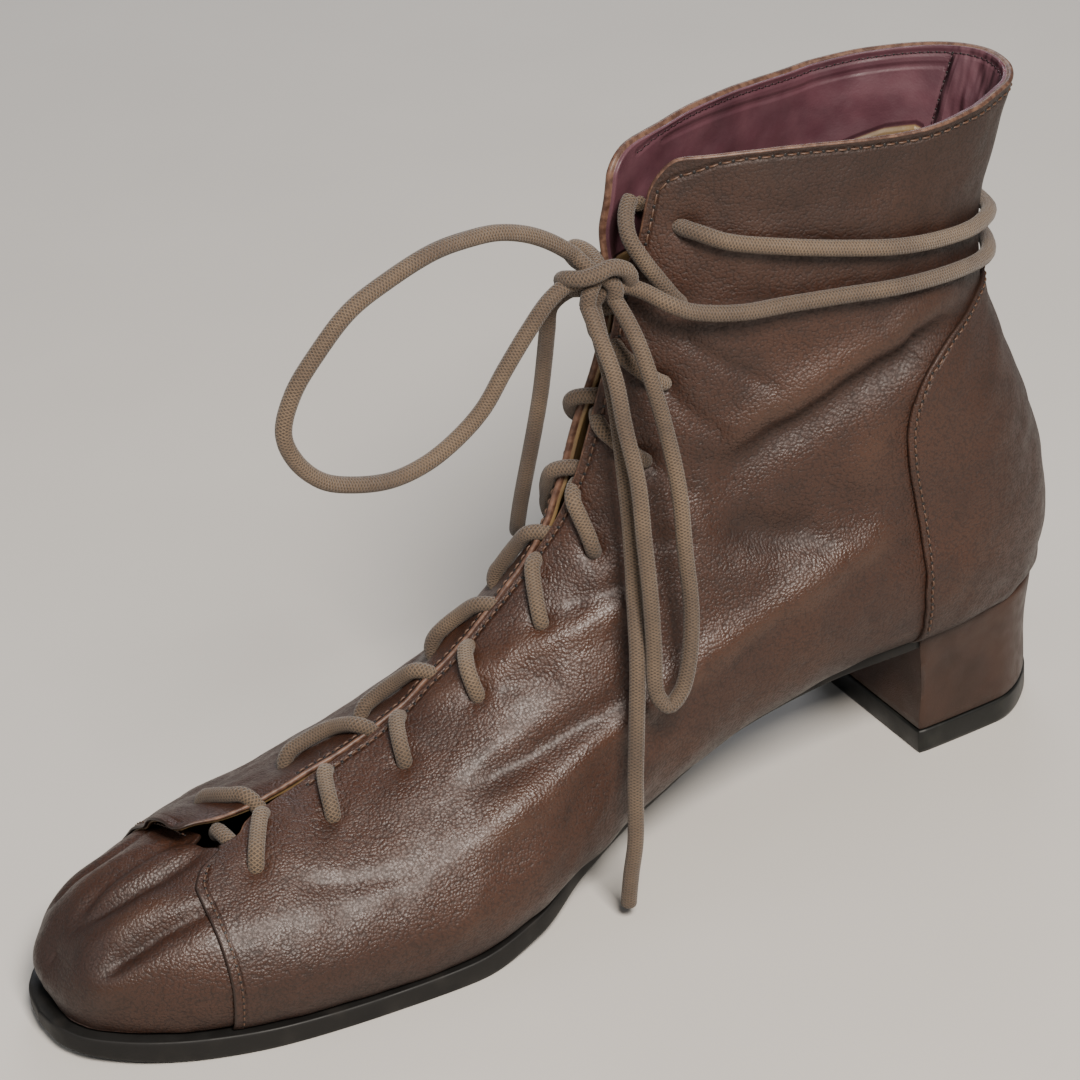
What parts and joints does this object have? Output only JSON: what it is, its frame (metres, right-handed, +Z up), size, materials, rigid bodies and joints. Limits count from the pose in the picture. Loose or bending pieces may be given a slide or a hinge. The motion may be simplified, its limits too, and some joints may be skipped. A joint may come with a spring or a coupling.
{
  "type": "lace up ankle boot",
  "caption": "Soft pebbled leather ankle boot for the right foot, with a round toe, open throat, round laces wound about the ankle and a low leather covered block heel.",
  "frame": {"origin": "on the floor, under the middle of the boot's box without its free laces", "axes": "+Z up, -X to the toe, +X to the heel, -Y to the inner side of the foot"},
  "size_m": [0.254, 0.0808, 0.1559],
  "materials": {
    "upper_leather": "soft glossy pebbled cow leather, dark cocoa brown",
    "insole_leather": "matt insole board with a leather sock, mid brown",
    "sole_rubber": "matt black rubber sheet",
    "heel_leather": "satin brown leather cover over the heel block",
    "lace_cord": "waxed round braided cord, khaki brown"
  },
  "bodies": {
    "root": {"upper": "upper_leather", "insole": "insole_leather", "outsole": "sole_rubber", "heel": "heel_leather", "top_lift": "sole_rubber", "lace_crossing_1": "lace_cord", "lace_crossing_2": "lace_cord", "lace_crossing_3": "lace_cord", "lace_crossing_4": "lace_cord", "lace_crossing_5": "lace_cord", "lace_crossing_6": "lace_cord", "lace_crossing_7": "lace_cord", "lace_crossing_8": "lace_cord", "lace_top_strand": "lace_cord", "lace_wrap_inner": "lace_cord", "lace_wrap_outer": "lace_cord", "lace_knot": "lace_cord", "lace_bow_loop": "lace_cord", "lace_hanging_loop": "lace_cord", "lace_end_inner": "lace_cord", "lace_end_outer": "lace_cord"}
  },
  "joints": []
}
